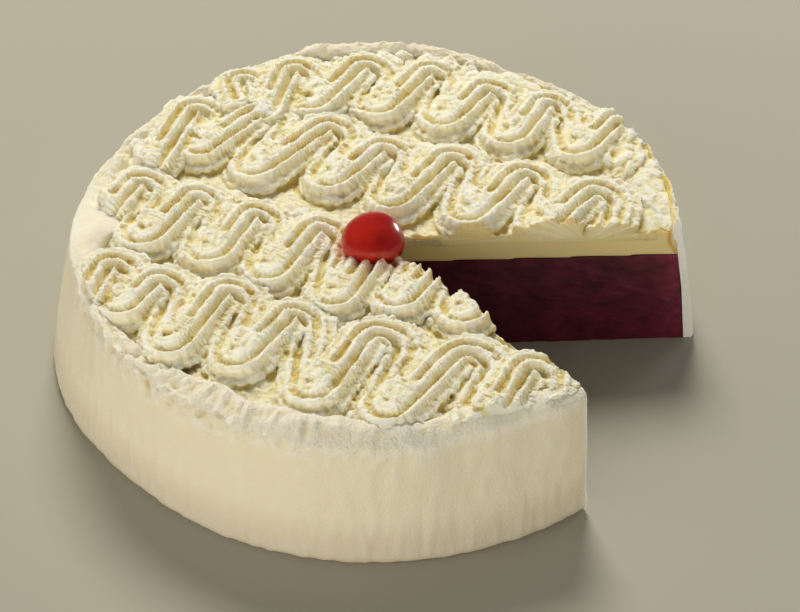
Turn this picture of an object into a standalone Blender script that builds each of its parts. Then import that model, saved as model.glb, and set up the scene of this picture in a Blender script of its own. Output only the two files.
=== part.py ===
"""Frozen fruit vacherin cake, 250 mm across, with one slice cut out.

A disc of dark fruit sorbet and a disc of ice cream stand inside a side coat of whipped cream. Four rows of
piped cream cover the top, and a glazed cherry lies at the point of the cut. Metres, +Z up, with the origin
in the middle of the underside.
"""

import math

import bmesh
import bpy
from mathutils import Matrix, Vector

# Driving dimensions of the cake
BASE_RADIUS = 0.125
RIM_RADIUS = 0.1165
RIM_HEIGHT = 0.0585
INSIDE_RADIUS_FOOT = 0.1160
INSIDE_RADIUS_TOP = 0.1120
SORBET_TOP = 0.0430
CREAM_TOP = 0.0517
GAP = 0.0003

# The cut: its point, and the plan directions of its two walls in degrees from +X
CUT_POINT = (-0.0050, -0.0060)
CUT_WALLS = (2.0, -49.5)

# The rim of the side coat: its usual width, how rounded its edges are, the drop of its inner edge, and the
# level of its underside
RIM_WIDTH = 0.0055
RIM_EDGE = 0.0011
RIM_INNER_DROP = 0.0012
RIM_INNER_ROUND = 0.0018
RIM_UNDERSIDE = CREAM_TOP + GAP
FOOT_UNDERCUT = 0.0010
FOOT_HEIGHT = 0.0014

# Places round the rim, as (direction in degrees, spread in degrees, amount in metres)
RIM_OUT = ((-53, 13, 0.0050), (-105, 32, 0.0020), (158, 12, -0.0026), (124, 22, -0.0044), (55, 15, -0.0024))
RIM_UP = ((152, 16, -0.0020), (55, 16, -0.0028), (96, 22, 0.0012), (-70, 22, 0.0006))
RIM_WIDER = ((-98, 26, 0.0038), (172, 11, 0.0062), (104, 24, 0.0042), (-62, 9, 0.0060), (30, 25, -0.0005))
# Uneven spreading of the rim, as (waves round the cake, phase, height in metres)
RIM_RIPPLES = ((7, 0.4, 0.00045), (13, 2.1, 0.00040), (23, 4.0, 0.00035), (31, 1.2, 0.00030))
# The phase shifts that keep the ripples of the rim's top, width and middle apart
TOP_SHIFT = 1.7
WIDTH_SHIFT = 3.1
MIDDLE_SHIFT = 5.2
# The share of the ripples on the rim's radius and on the wall below it, and how fast the wall's change with
# height
RADIUS_RIPPLE = 0.6
WALL_RIPPLE = 0.25
WALL_SHIFT_PER_METRE = 90.0
WALL_LEVELS = (0.25, 0.5, 0.75)

# The piped ribbon: half its width, the most of a stroke's room that it fills, its height, and the depth of
# the grooves between its three ridges
RIBBON_HALF_WIDTH = 0.0063
RIBBON_FILL = 0.92
RIBBON_HEIGHT = 0.0102
RIBBON_GROOVE = 0.0028
RIBBON_SHOULDER = 0.0042
OUTER_RIDGE_DROP = 0.0011
RIDGE_OFFSET = 0.72
PIPED_FOOT = CREAM_TOP + GAP
SPREAD_CREAM = 0.0013
FOOT_SINK = 0.0004

# The meander of each row: the lean of its strokes, and how finely it is stepped
STROKE_LEAN = 28.0
STROKE_STEPS = 2
TURN_STEPS = 6
ROW_BORDER_GAP = 0.00015

# The rows from the rear to the front: the middle of the first and last full arch, the arches between them,
# the bulge of the row's line, half its straight stroke, and how many arches it runs on past each of those two
ROWS = (
    ("piped_row_rear", (-0.0315, 0.0858), (0.0685, 0.0517), 4, 0.0041, 0.0056, 1.0, 1.5),
    ("piped_row_upper", (-0.0755, 0.0545), (0.0745, -0.0015), 6, 0.0012, 0.0114, 0.5, 1.0),
    ("piped_row_lower", (-0.0718, -0.0024), (0.0006, -0.0339), 3, 0.0016, 0.0084, 1.0, 1.5),
    ("piped_row_front", (-0.1042, -0.0420), (0.0262, -0.0965), 5, -0.0038, 0.0097, 0.5, 1.0),
)
# The lines between the rows, as (x, y) at one point and the slope
ROW_BORDERS = (((-0.030, 0.0650), -0.373), ((-0.030, 0.0085), -0.360), ((-0.043, -0.0415), -0.410))

# The cherry: its half sizes, its middle, its turn and the dimple where its stone was taken out
CHERRY_HALF = (0.0118, 0.0112, 0.0096)
CHERRY_MIDDLE = (-0.0020, -0.0160, 0.0646)
CHERRY_TURN = 35.0
CHERRY_DIMPLE_DEPTH = 0.0016
CHERRY_DIMPLE_SPREAD = 0.35

# Cutters are longer than what they cut: how far they reach sideways, and their lowest level below the base,
# their lowest level inside the cake and their highest level
CUTTER_REACH = 0.2
CUTTER_BELOW = -0.02
CUTTER_INSIDE = 0.02
CUTTER_ABOVE = 0.12

COAT_STEPS = 96
DISC_STEPS = 72

IVORY = (0.80, 0.72, 0.54, 1.0)
PIPED_IVORY = (0.86, 0.80, 0.60, 1.0)
ICE_CREAM = (0.78, 0.69, 0.46, 1.0)
SORBET_RED = (0.10, 0.006, 0.012, 1.0)
CHERRY_RED = (0.45, 0.008, 0.004, 1.0)


def clear_scene():
    for obj in list(bpy.data.objects):
        bpy.data.objects.remove(obj, do_unlink=True)


def surface(name, colour, roughness):
    """One non-metallic Principled material."""
    made = bpy.data.materials.new(name)
    made.use_nodes = True
    shader = made.node_tree.nodes["Principled BSDF"]
    shader.inputs["Base Color"].default_value = colour
    shader.inputs["Roughness"].default_value = roughness
    shader.inputs["Metallic"].default_value = 0.0
    made.diffuse_color = colour
    return made


def add_object(name, mesh, finish=None):
    mesh.name = name
    obj = bpy.data.objects.new(name, mesh)
    bpy.context.scene.collection.objects.link(obj)
    if finish is not None:
        mesh.materials.append(finish)
        mesh.shade_smooth()
        mesh.set_sharp_from_angle(angle=math.radians(50))
    return obj


def add_cutter(name, mesh):
    obj = add_object(name, mesh)
    obj.hide_render = True
    obj.display_type = "WIRE"
    return obj


def combine(obj, other, operation):
    """A live Boolean on obj."""
    step = obj.modifiers.new(f"{operation.lower()}_{other.name}", "BOOLEAN")
    step.operation = operation
    step.object = other
    step.solver = "EXACT"


def closed_mesh(points, faces):
    """A mesh whose faces are turned to point outwards."""
    shape = bmesh.new()
    corners = [shape.verts.new(point) for point in points]
    for face in faces:
        shape.faces.new([corners[index] for index in face])
    bmesh.ops.recalc_face_normals(shape, faces=shape.faces)
    mesh = bpy.data.meshes.new("shape")
    shape.to_mesh(mesh)
    shape.free()
    return mesh


def loft(rings, ring_closes):
    """Skin over rings of equal length. ring_closes joins the last ring to the first, and otherwise both
    ends get a cap."""
    count = len(rings[0])
    spans = len(rings) if ring_closes else len(rings) - 1
    faces = []
    for i in range(spans):
        here = i * count
        there = ((i + 1) % len(rings)) * count
        for j in range(count):
            k = (j + 1) % count
            faces.append((here + j, here + k, there + k, there + j))
    if not ring_closes:
        faces.append(tuple(range(count)))
        faces.append(tuple(range(len(rings) * count - 1, (len(rings) - 1) * count - 1, -1)))
    return closed_mesh([point for ring in rings for point in ring], faces)


def prism(outline, low, high):
    """An upright prism over a plan outline."""
    rings = [[(x, y, z) for x, y in outline] for z in (low, high)]
    return loft(rings, ring_closes=False)


def disc(low, high, low_radius, high_radius):
    """A round layer that stands on Z = low."""
    shape = bmesh.new()
    bmesh.ops.create_cone(
        shape,
        cap_ends=True,
        segments=DISC_STEPS,
        radius1=low_radius,
        radius2=high_radius,
        depth=high - low,
        matrix=Matrix.Translation((0.0, 0.0, (low + high) / 2)),
    )
    mesh = bpy.data.meshes.new("disc")
    shape.to_mesh(mesh)
    shape.free()
    return mesh


def swelling(direction, places):
    """The sum of smooth bumps at the given places, in metres, for a direction in degrees."""
    total = 0.0
    for centre, spread, amount in places:
        off = (direction - centre + 180.0) % 360.0 - 180.0
        total += amount * math.exp(-((off / spread) ** 2))
    return total


def ripple(direction, phase_shift):
    angle = math.radians(direction)
    return sum(height * math.sin(waves * angle + phase + phase_shift) for waves, phase, height in RIM_RIPPLES)


def coat_section(direction, clearance):
    """The coat's cross-section in one direction, as (radius, height) round the section.

    clearance grows the upper part, for the shape that keeps the piping clear of the rim."""
    rim = RIM_RADIUS + swelling(direction, RIM_OUT) + RADIUS_RIPPLE * ripple(direction, 0.0)
    top = RIM_HEIGHT + swelling(direction, RIM_UP) + ripple(direction, TOP_SHIFT)
    width = RIM_WIDTH + swelling(direction, RIM_WIDER) + ripple(direction, WIDTH_SHIFT)
    inner = min(rim - width, INSIDE_RADIUS_TOP - GAP) - clearance
    lean = (rim - BASE_RADIUS) / top
    outer = [(BASE_RADIUS - FOOT_UNDERCUT, 0.0)]
    for height in (FOOT_HEIGHT, *[level * top for level in WALL_LEVELS]):
        uneven = WALL_RIPPLE * ripple(direction, WALL_SHIFT_PER_METRE * height)
        outer.append((BASE_RADIUS + lean * height + uneven, height))
    crest = top + clearance
    inner_crest = crest - RIM_INNER_DROP
    rim_top = [
        (rim, crest - RIM_EDGE),
        (rim - RIM_EDGE, crest),
        ((rim + inner) / 2, crest - 0.5 * RIM_EDGE + ripple(direction, MIDDLE_SHIFT)),
        (inner + RIM_EDGE, inner_crest),
        (inner, inner_crest - RIM_INNER_ROUND),
        (inner, RIM_UNDERSIDE - clearance),
    ]
    inside = [
        (INSIDE_RADIUS_TOP + GAP, RIM_UNDERSIDE - clearance),
        (INSIDE_RADIUS_FOOT + GAP, 0.0),
    ]
    return outer + rim_top + inside


def coat_ring(clearance):
    rings = []
    for i in range(COAT_STEPS):
        direction = 360.0 * i / COAT_STEPS
        angle = math.radians(direction)
        section = coat_section(direction, clearance)
        rings.append([(r * math.cos(angle), r * math.sin(angle), z) for r, z in section])
    return loft(rings, ring_closes=True)


def cut_prism():
    """The missing slice, from its point out past the rim."""
    point = Vector(CUT_POINT)
    outline = [point]
    for direction in CUT_WALLS:
        angle = math.radians(direction)
        outline.append(point + CUTTER_REACH * Vector((math.cos(angle), math.sin(angle))))
    return prism(outline, CUTTER_BELOW, CUTTER_ABOVE)


def ribbon_section():
    """The star nozzle's ribbon as (share of its half width, height), with three ridges."""
    half = [
        (1.0, 0.0),
        (1.0, RIBBON_SHOULDER),
        (RIDGE_OFFSET, RIBBON_HEIGHT - OUTER_RIDGE_DROP),
        (RIDGE_OFFSET / 2, RIBBON_HEIGHT - RIBBON_GROOVE),
    ]
    left = [(-across, height) for across, height in half]
    return left + [(0.0, RIBBON_HEIGHT)] + half[::-1]


def row_line(row, arch):
    """The plan point of a row's line at an arch, which may be a fraction."""
    _, first, last, arches, bulge, _, _, _ = row
    start = Vector(first)
    run = Vector(last) - start
    share = arch / arches
    aside = Vector((-run.y, run.x)).normalized()
    return start + share * run + 4.0 * bulge * share * (1.0 - share) * aside


def stroke_direction():
    lean = math.radians(STROKE_LEAN)
    return Vector((math.sin(lean), math.cos(lean)))


def stroke_room(row, arch):
    """Half the distance between neighbouring strokes, square to them, near an arch."""
    return abs((row_line(row, arch + 0.25) - row_line(row, arch - 0.25)).cross(stroke_direction())) / 2.0


def meander(row):
    """The ribbon's middle as (plan point, direction, half width): round arches and bends in turn, with a
    straight stroke between them."""
    _, _, _, arches, _, half_stroke, before, after = row
    upwards = stroke_direction()
    rightwards = Vector((upwards.y, -upwards.x))
    stations = []
    bend = -before
    side = 1.0 if round(2.0 * before) % 2 == 0 else -1.0
    while bend <= arches + after:
        radius = stroke_room(row, bend)
        middle = row_line(row, bend) + side * half_stroke * upwards
        width = min(RIBBON_HALF_WIDTH, RIBBON_FILL * radius)
        for i in range(TURN_STEPS + 1):
            turn = math.pi * i / TURN_STEPS
            heading = side * math.cos(turn) * upwards + math.sin(turn) * rightwards
            place = middle + radius * (side * math.sin(turn) * upwards - math.cos(turn) * rightwards)
            if i == 0 and stations:
                before_place = stations[-1][0]
                for j in range(1, STROKE_STEPS):
                    stations.append((before_place.lerp(place, j / STROKE_STEPS), heading, width))
            stations.append((place, heading, width))
        bend += 0.5
        side = -side
    return stations


def piped_ribbon(row):
    section = ribbon_section()
    rings = []
    for middle, heading, half_width in meander(row):
        aside = half_width * Vector((heading.y, -heading.x))
        places = [(middle + share * aside, height) for share, height in section]
        rings.append([(place.x, place.y, PIPED_FOOT + FOOT_SINK + height) for place, height in places])
    return loft(rings, ring_closes=False)


def row_band(index):
    """A prism over the band that a row may fill, between its borders to the rows behind and in front."""
    reach = CUTTER_REACH
    corners = []
    for border, sign in ((index - 1, -1.0), (index, 1.0)):
        if 0 <= border < len(ROW_BORDERS):
            (x, y), slope = ROW_BORDERS[border]
            ends = [(side, y + slope * (side - x) + sign * ROW_BORDER_GAP) for side in (-reach, reach)]
        else:
            ends = [(side, -sign * reach) for side in (-reach, reach)]
        corners.append(ends)
    (back_left, back_right), (front_left, front_right) = corners
    return prism([front_left, front_right, back_right, back_left], CUTTER_INSIDE, CUTTER_ABOVE)


def cherry_mesh(grow):
    """A glazed cherry: a squat ball with a shallow dimple, grown by a clearance where asked."""
    shape = bmesh.new()
    bmesh.ops.create_uvsphere(shape, u_segments=22, v_segments=14, radius=1.0)
    for vert in shape.verts:
        away = (1.0 - vert.co.normalized().x) / CHERRY_DIMPLE_SPREAD
        dimple = CHERRY_DIMPLE_DEPTH * math.exp(-away * away)
        direction = vert.co.copy()
        for axis in range(3):
            vert.co[axis] = direction[axis] * (CHERRY_HALF[axis] + grow - dimple)
    turned = Matrix.Rotation(math.radians(CHERRY_TURN), 4, "Z")
    bmesh.ops.transform(shape, matrix=Matrix.Translation(CHERRY_MIDDLE) @ turned, verts=shape.verts)
    mesh = bpy.data.meshes.new("cherry")
    shape.to_mesh(mesh)
    shape.free()
    return mesh


def add_layers(cut):
    """The two discs that the cut shows one above the other."""
    slope = (INSIDE_RADIUS_TOP - INSIDE_RADIUS_FOOT) / CREAM_TOP
    layers = (
        ("fruit_sorbet_layer", 0.0, SORBET_TOP, surface("fruit_sorbet", SORBET_RED, 0.55)),
        ("ice_cream_layer", SORBET_TOP + GAP, CREAM_TOP, surface("ice_cream", ICE_CREAM, 0.5)),
    )
    for name, low, high, finish in layers:
        radii = [INSIDE_RADIUS_FOOT + slope * height for height in (low, high)]
        layer = add_object(name, disc(low, high, *radii), finish)
        combine(layer, cut, "DIFFERENCE")


def add_piping(cut, finish):
    """Four rows of piped cream, each on its own thin spread of cream."""
    spread = add_cutter(
        "spread_cream",
        disc(PIPED_FOOT, PIPED_FOOT + SPREAD_CREAM, INSIDE_RADIUS_FOOT, INSIDE_RADIUS_FOOT),
    )
    rim = add_cutter("rim_clearance", coat_ring(2.0 * GAP))
    most = INSIDE_RADIUS_TOP - GAP
    inside = add_cutter("inside_of_rim", disc(CUTTER_INSIDE, CUTTER_ABOVE, most, most))
    seat = add_cutter("cherry_seat", cherry_mesh(GAP))
    for index, row in enumerate(ROWS):
        band = add_cutter(f"{row[0]}_band", row_band(index))
        piped = add_object(row[0], piped_ribbon(row), finish)
        combine(piped, spread, "UNION")
        combine(piped, inside, "INTERSECT")
        combine(piped, band, "INTERSECT")
        combine(piped, rim, "DIFFERENCE")
        combine(piped, cut, "DIFFERENCE")
        combine(piped, seat, "DIFFERENCE")


def main():
    clear_scene()
    cut = add_cutter("missing_slice", cut_prism())
    add_layers(cut)
    coat = add_object("side_coat", coat_ring(0.0), surface("side_cream", IVORY, 0.6))
    combine(coat, cut, "DIFFERENCE")
    add_piping(cut, surface("piped_cream", PIPED_IVORY, 0.55))
    add_object("cherry", cherry_mesh(0.0), surface("glazed_fruit", CHERRY_RED, 0.12))


main()
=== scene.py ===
"""Looks of the vacherin cake: piped rows, smoothed side, cut layers, cherry and a plain studio."""

import math

import bmesh
import bpy
import numpy as np
from bpy.props import FloatProperty, FloatVectorProperty, IntProperty, PointerProperty
from mathutils import Matrix, Vector, noise
from mathutils.kdtree import KDTree


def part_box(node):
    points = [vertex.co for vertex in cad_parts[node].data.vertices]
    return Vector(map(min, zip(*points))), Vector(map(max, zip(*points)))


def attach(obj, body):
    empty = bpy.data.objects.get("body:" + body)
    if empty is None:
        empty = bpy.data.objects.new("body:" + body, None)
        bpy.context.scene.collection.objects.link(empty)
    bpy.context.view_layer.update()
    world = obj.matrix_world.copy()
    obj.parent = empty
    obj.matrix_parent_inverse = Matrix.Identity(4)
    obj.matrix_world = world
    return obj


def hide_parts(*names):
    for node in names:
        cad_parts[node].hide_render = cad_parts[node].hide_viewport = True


bl_info = {
    "name": "Vacherin cake",
    "version": (1, 0, 0),
    "blender": (4, 5, 0),
    "location": "3D View > Sidebar > Cake",
    "description": "Pipes, spreads and finishes a frozen vacherin cake around its solids",
    "category": "Add Mesh",
}

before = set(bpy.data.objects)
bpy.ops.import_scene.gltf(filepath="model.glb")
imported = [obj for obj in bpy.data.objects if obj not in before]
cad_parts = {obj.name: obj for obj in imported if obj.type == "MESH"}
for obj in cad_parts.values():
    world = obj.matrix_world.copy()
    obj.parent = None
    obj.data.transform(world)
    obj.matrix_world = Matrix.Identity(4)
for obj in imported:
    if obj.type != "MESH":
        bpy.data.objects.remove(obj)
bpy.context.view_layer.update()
BODY = "root"
MM = 0.001

# What the solids give: the top of the sorbet, the top of the ice cream and the radius of the cake's foot
SORBET_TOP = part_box("fruit_sorbet_layer")[1].z
ICE_CREAM_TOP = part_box("ice_cream_layer")[1].z
BASE_RADIUS = -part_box("side_coat")[0].x

# The cut: its point, and the plan directions of its two walls in degrees from +X
CUT_POINT = (-0.0050, -0.0060)
REAR_WALL = 2.0
FRONT_WALL = -48.0
WALLS = (REAR_WALL, FRONT_WALL)

# Its cutter: how far it reaches, its levels, and the notches that it leaves in the rows' front wall
CUT_REACH = 0.200
CUT_LOW = -0.02
ROW_CUT_LOW = 0.02
CUT_HIGH = 0.1
ROW_INSET = -0.0001
NOTCH_DEPTH = 0.0003
NOTCH_LENGTH = 0.0018
NOTCHED_REACH = 0.125

# The side coat, as in the solids: places round it are (direction, spread, amount in metres or share)
RIM_RADIUS = 0.1165
RIM_HEIGHT = 0.0585
RIM_WIDTH = 0.0055
RIM_INNER_MOST = 0.1150
INSIDE_RADIUS_FOOT = 0.1205
INSIDE_RADIUS_TOP = 0.1162
FOOT_UNDERCUT = 0.0014
FOOT_ROUNDING = 0.0016
WALL_HEIGHT = 0.0555
WALL_CURVE = 1.15
LEAST_WALL = 0.0026
SHOULDER_OUT = 0.0022
SHOULDER_DROP = 0.0040
RIM_OUT = ((-53, 13, 0.0050), (-105, 32, 0.0020), (158, 12, -0.0026), (124, 22, -0.0044), (55, 15, -0.0024))
RIM_UP = ((152, 16, -0.0020), (55, 16, -0.0028), (96, 22, 0.0012), (-70, 22, 0.0006))
RIM_WIDER = ((-98, 26, 0.0038), (172, 11, 0.0062), (104, 24, 0.0018), (-62, 9, 0.0060), (18, 26, -0.0030))
FOOT_OUT = ((-172, 20, 0.0030), (-138, 16, -0.0014), (-95, 20, 0.0006))
SHOULDER = ((-88, 34, 1.0), (178, 16, 0.6))
FLAP = ((178, 10, 0.0085), (-124, 20, 0.0035))
SMEARED = ((-66, 16, 1.0), (180, 13, 1.0))
TORN = ((-128, 26, 1.0),)
SEAM_SHOWS = ((14, 16, 1.0), (58, 9, 0.5))
RIM_RIPPLES = ((7, 0.4, 0.00045), (13, 2.1, 0.00040), (23, 4.0, 0.00035), (31, 1.2, 0.00030))

# Kinds of relief on the coat: the width of the features round the cake, their height up it, and a seed
MEAN_RADIUS = 0.12
WAVES = (0.040, 0.030, 0.0)
SMEARS = (0.0045, 0.012, 0.4)
STREAKS = (0.0026, 0.016, 7.2)
FLAKES = (0.0075, 0.0024, 4.4)
CRUMBS = (0.0022, 0.0018, 6.1)
EDGE_CHIPS = (0.0030, 1.0, 2.2)
FOOT_CHIPS = (0.004, 1.0, 3.3)
RIM_ROUGH = (0.0030, 0.0004, 9.1)
RIM_WIDE = (0.010, 0.0009, 5.1)
RIM_FINE = (0.0014, 0.00018, 2.6)
RIM_SWAY = (0.004, 0.0004, 1.7)

# Each row's bends from left to right: the middle of an arch or of a bend in front of it, and the radius
# of the ribbon's line round it, in millimetres. Each row starts with a bend in front.
PIPED_ROWS = {
    "piped_row_rear": (
        (-56.0, 66.0, 4.6), (-52.0, 84.0, 4.5), (-47.0, 70.0, 4.6), (-31.5, 89.5, 5.5), (-25.5, 77.0, 4.8),
        (-3.0, 91.5, 6.0), (1.5, 74.5, 5.2), (23.0, 87.5, 5.5), (27.5, 66.5, 4.8), (46.5, 74.0, 6.5),
        (53.0, 55.0, 4.8), (70.0, 66.0, 5.0), (80.0, 47.5, 4.8), (97.0, 55.0, 4.5), (99.0, 32.0, 5.0),
    ),
    "piped_row_upper": (
        (-92.0, 34.0, 4.8), (-70.0, 64.0, 5.5), (-69.0, 49.0, 4.8), (-45.0, 60.0, 5.5), (-46.5, 35.5, 4.8),
        (-17.5, 51.5, 5.5), (-17.0, 28.5, 4.8), (4.0, 37.5, 5.5), (7.0, 15.5, 4.8), (31.0, 31.0, 6.0),
        (36.0, 6.5, 4.8), (59.0, 21.0, 5.5), (64.0, 0.5, 4.8), (86.0, 9.0, 7.0), (92.0, -14.5, 5.0),
    ),
    "piped_row_lower": (
        (-106.0, 8.0, 4.0), (-90.0, 18.5, 5.0), (-88.0, -5.0, 5.2), (-68.0, 9.5, 4.5), (-62.5, -15.0, 5.4),
        (-45.0, -2.0, 5.0), (-40.0, -26.5, 4.8), (-20.0, -11.0, 5.5), (-15.0, -41.5, 4.8), (3.0, -27.5, 6.0),
        (8.5, -43.0, 4.8), (27.0, -33.5, 5.5), (33.0, -51.0, 5.0), (52.0, -38.0, 5.5),
    ),
    "piped_row_front": (
        (-112.0, -44.0, 4.4), (-97.5, -31.0, 5.5), (-94.5, -45.5, 4.6), (-79.5, -41.0, 5.5),
        (-75.0, -66.5, 5.0), (-53.5, -47.0, 5.5), (-50.0, -74.5, 4.8), (-29.0, -60.0, 4.8),
        (-22.0, -92.5, 5.0), (2.5, -73.5, 8.2), (5.0, -103.0, 4.8), (34.5, -84.0, 8.2), (38.0, -108.0, 4.8),
        (58.0, -90.0, 6.0), (66.0, -106.0, 5.0),
    ),
}

# Where one row's cream ends and the next begins: a plan point on the line, in millimetres, and its slope
ROW_BORDERS = (((-30.0, 65.0), -0.373), ((-30.0, 8.5), -0.360), ((-43.0, -41.5), -0.410))

# The ribbon's line: its step, the turn added at each end, the most of the gap between two bends that a
# radius takes, the share of a radius that is room on the inner side, the room beside a stroke, and the
# steps over which an end tapers
LINE_STEP = 0.0005
END_TURN = math.radians(60.0)
RADIUS_SHARE = 0.49
INNER_SHARE = 0.94
STROKE_ROOM = 0.02
TAPER_STEPS = 18

# Half of the ribbon's section in millimetres from its middle ridge outwards, where it arches: three sharp
# ridges between hollow grooves, and a skirt spread wide. Then the same with the skirt pressed down and in.
SPREAD_SECTION = (
    (0.0, 10.5), (0.7, 10.3), (1.2, 9.5), (1.7, 8.2), (2.4, 7.2), (3.1, 7.2), (3.8, 8.2), (4.3, 9.5),
    (4.9, 10.1), (5.5, 9.9), (6.0, 9.1), (6.6, 8.0), (7.4, 7.5), (8.3, 7.8), (9.2, 8.1), (9.8, 7.5),
    (9.5, 5.8), (8.9, 3.6), (8.5, 1.0), (9.0, -1.6),
)
PRESSED_SECTION = (
    (0.0, 10.2), (0.7, 10.0), (1.2, 9.2), (1.8, 7.9), (2.5, 7.2), (3.2, 7.3), (3.9, 8.3), (4.4, 9.4),
    (4.9, 9.9), (5.5, 9.7), (6.1, 8.6), (6.7, 7.0), (7.3, 5.9), (8.0, 5.3), (8.8, 5.1), (9.2, 4.4),
    (8.8, 3.0), (8.3, 1.8), (8.2, 0.8), (8.8, -1.6),
)

# Levels in that section, also in millimetres: where its relief starts, where backward strokes are flattened
# and to what level, and the level to which the inside of a bend in front is filled
RELIEF_FROM = 3.8
FLATTEN_FROM = 6.0
FLAT_LEVEL = 8.4
FILLED_LEVEL = 10.5

# The groove inside an arch: its added depth, its place across the section and its width, in millimetres
GROOVE = (2.2, 2.8, 1.3)

# Level of the rough cream that fills the rows out to the rim, in millimetres, by direction in degrees
EDGE_CREAM = (
    (-180, 56.0), (-165, 56.5), (-150, 54.0), (-135, 52.5), (-115, 55.5), (-100, 56.0), (-85, 56.5),
    (-60, 58.0), (-49, 57.0), (2, 55.5), (10, 59.0), (25, 60.0), (40, 58.5), (55, 57.0), (70, 58.0),
    (90, 60.0), (110, 59.0), (125, 57.0), (140, 58.0), (160, 57.5), (180, 56.0),
)

# The knobs inside each bend in front: distance back along the stroke, width and level of the top
KNOBS = ((0.0005, 0.0043, 0.0622), (0.0055, 0.0046, 0.0618), (0.0115, 0.0044, 0.0604))

# The thin bed under the rows: its depth into the ice cream, its height over it, its radius, how far it runs
# under the row in front, and how far its outline reaches
BED_DEPTH = 0.0008
BED_HEIGHT = 0.0026
BED_RADIUS = 0.1075
BED_OVERLAP = 0.0012
BED_REACH = 0.2

# Where the rows' cream ends inside the rim, and how far below the top of the ice cream
ROWS_INSET = 0.0018
ROWS_DEPTH = 0.0012

# The recess between the front row and the rim, in plan, where a dark shade is painted
RECESS = (-0.0693, -0.0775)
RECESS_RADIUS = 0.0048

# The reach of the reddish tint on the cream round the cherry, from its middle, and the width of its soft
# edge
RED_TINT_REACH = 0.0175
RED_TINT_EDGE = 0.006

# A depth over which the masks of painted highlight on ridges and painted shade in hollows run from one end
# to the other
HOLLOW_DEPTH = 0.0016

# The most triangles that each piped row keeps once it is thinned
PIECE_TRIANGLES = 192000

# The middle of the cherry, its size from the middle along, across and up, and its turn
CHERRY_MIDDLE = tuple((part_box("cherry")[0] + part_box("cherry")[1]) / 2 + Vector((0.0020, 0.0, -0.0008)))
CHERRY_HALF = (0.0132, 0.0114, 0.0100)
CHERRY_TURN = math.radians(35.0)

# How light spreads inside cream and ice cream
CREAM_SPREAD = {"Subsurface Radius": (1.0, 0.80, 0.40), "Subsurface Scale": 0.0020}

# The lights: name, place, size, and whether they show in matt and in shiny surfaces. All have one aim.
LIGHTS = (
    ("key", (-0.06, 0.92, 1.20), (0.62, 0.62), True, False),
    ("glint", (0.76, 0.64, 0.22), (0.28, 0.20), False, True),
    ("fill", (-0.25, -1.15, 0.30), (3.2, 0.45), True, False),
    ("side", (-1.15, -0.40, 0.34), (0.6, 0.6), True, False),
)
LIGHT_AIM = Vector((0.0, 0.0, 0.03))
LIGHT_COLOUR = (1.0, 0.98, 0.94)
WORLD_COLOUR = (0.95, 0.93, 0.88, 1.0)
WORLD_STRENGTH = 0.14

# The point on the floor that the camera looks at, the width of its sensor in millimetres, and the floor
LOOK_AT = Vector((0.008875, 0.018375, 0.0))
SENSOR_WIDTH = 36.0
FLOOR_SIZE = 6.0
FLOOR_LEVEL = -0.0002


def deselect_all():
    if bpy.context.mode != "OBJECT":
        bpy.ops.object.mode_set(mode="OBJECT")
    bpy.ops.object.select_all(action="DESELECT")


def make_active(obj):
    deselect_all()
    obj.select_set(True)
    bpy.context.view_layer.objects.active = obj


def apply_step(obj, kind, **values):
    """Adds one modifier with the given settings and applies it."""
    step = obj.modifiers.new(kind.lower(), kind)
    for key, value in values.items():
        setattr(step, key, value)
    make_active(obj)
    bpy.ops.object.modifier_apply(modifier=step.name)


def points_of(obj):
    flat = np.empty(len(obj.data.vertices) * 3)
    obj.data.vertices.foreach_get("co", flat)
    return flat.reshape(-1, 3)


def normals_of(obj):
    flat = np.empty(len(obj.data.vertices) * 3, dtype=np.float32)
    obj.data.vertex_normals.foreach_get("vector", flat)
    return flat.reshape(-1, 3)


def directions_of(points):
    """The plan direction of each point in degrees from +X."""
    return np.degrees(np.arctan2(points[:, 1], points[:, 0]))


def set_points(obj, points):
    obj.data.vertices.foreach_set("co", np.ascontiguousarray(points).ravel())
    obj.data.update()


def set_mask(obj, name, values):
    """A named value per point, from 0 to 1, that the materials read."""
    mask = obj.data.attributes.new(name, "FLOAT", "POINT")
    mask.data.foreach_set("value", np.clip(values, 0.0, 1.0).astype(np.float32))


def set_weights(obj, name, values, levels=24):
    """A vertex group with the values rounded to a few levels."""
    group = obj.vertex_groups.new(name=name)
    steps = np.rint(np.clip(values, 0.0, 1.0) * levels).astype(int)
    for step in range(1, levels + 1):
        group.add(np.flatnonzero(steps == step).tolist(), step / levels, "REPLACE")


def lumps(obj, name, size, strength, weights, depth=1):
    """Pushes the surface in and out by a soft noise, as far as the weights say, and applies it."""
    texture = bpy.data.textures.new(name, "CLOUDS")
    texture.noise_scale = size
    texture.noise_depth = depth
    apply_step(obj, "DISPLACE", texture=texture, strength=strength, vertex_group=weights)
    bpy.data.textures.remove(texture)


def wrapped(angle):
    return (angle + 180.0) % 360.0 - 180.0


def swelling(direction, places):
    """The sum of soft swellings round the cake, in one direction or in an array of them."""
    total = 0.0
    for centre, spread, amount in places:
        total = total + amount * np.exp(-((wrapped(direction - centre) / spread) ** 2))
    return total


def ripple(direction, shift):
    angle = np.radians(direction)
    return sum(height * np.sin(waves * angle + phase + shift) for waves, phase, height in RIM_RIPPLES)


def rim_outer(direction):
    return RIM_RADIUS + swelling(direction, RIM_OUT) + 0.6 * ripple(direction, 0.0)


def rim_level(direction):
    return RIM_HEIGHT + swelling(direction, RIM_UP) + ripple(direction, 1.7)


def rim_inner(direction):
    width = RIM_WIDTH + swelling(direction, RIM_WIDER) + ripple(direction, 3.1)
    return np.minimum(rim_outer(direction) - width - swelling(direction, FLAP), RIM_INNER_MOST)


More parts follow.
